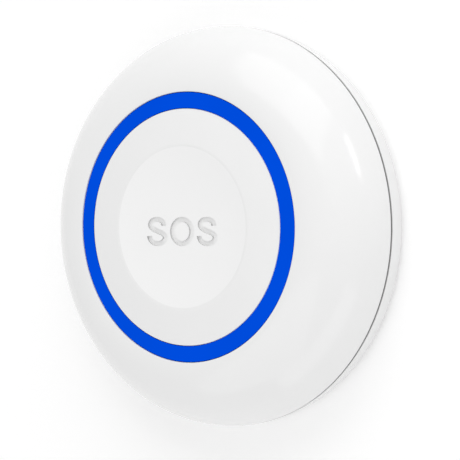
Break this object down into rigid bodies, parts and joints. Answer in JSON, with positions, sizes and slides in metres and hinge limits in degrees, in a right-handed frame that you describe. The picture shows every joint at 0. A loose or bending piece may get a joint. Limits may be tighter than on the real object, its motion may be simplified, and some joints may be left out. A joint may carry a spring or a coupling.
{
  "type": "wireless panic button",
  "caption": "Round white wireless panic button with a large centre press cap, a blue light ring, and a twist-off coin cell door in its flat rear cover.",
  "frame": {"origin": "centre of the flat rear face, which the part lies on", "axes": "+Z along the centre axis out of the button; +Y towards the top of the front when it is read; +X to its right"},
  "size_m": [0.08, 0.08, 0.0209],
  "materials": {
    "housing_white": "satin moulded, fine spark-eroded grain",
    "ring_blue": "smooth tinted light guide",
    "cap_white": "satin moulded",
    "reflector_white": "moulded white",
    "board_green": "solder mask on glass epoxy",
    "board_blue": "solder mask on glass epoxy",
    "moulded_black": "moulded black",
    "led_white": "clear dome on white body",
    "antenna_ceramic": "glazed ceramic",
    "plated_steel": "tin plated",
    "cell_steel": "nickel plated can",
    "screw_steel": "zinc plated"
  },
  "bodies": {
    "housing": {"front_housing": "housing_white", "rear_cover": "housing_white", "light_ring": "ring_blue", "led_reflector": "reflector_white", "circuit_board": "board_green", "switch_body": "moulded_black", "switch_cover": "plated_steel", "radio_board": "board_blue", "radio_shield": "plated_steel", "controller_chip": "moulded_black", "chip_antenna": "antenna_ceramic", "coin_cell": "cell_steel", "battery_holder": "moulded_black", "positive_contact": "plated_steel", "negative_contact": "plated_steel", "housing_screws": "screw_steel", "board_screws": "screw_steel", "ring_led_1": "led_white", "ring_led_2": "led_white", "ring_led_3": "led_white", "ring_led_4": "led_white", "ring_led_5": "led_white", "ring_led_6": "led_white"},
    "button": {"button_cap": "cap_white"},
    "plunger": {"switch_plunger": "moulded_black"},
    "door": {"battery_door": "housing_white"}
  },
  "joints": [
    {"name": "button_press", "type": "slide", "parent": "housing", "child": "button", "axis": [0, 0, -1], "range_m": [0, 0.0006], "stiffness_N_per_m": 4000, "springref_m": -0.0002},
    {"name": "plunger_press", "type": "slide", "parent": "housing", "child": "plunger", "axis": [0, 0, -1], "range_m": [0, 0.0006]},
    {"name": "battery_door_twist", "type": "hinge", "parent": "housing", "child": "door", "pos_m": [0, 0, 0], "axis": [0, 0, -1], "range_deg": [0, 30]}
  ],
  "couplings": [
    {"joint": "plunger_press", "follows": "button_press", "ratio": 1}
  ]
}
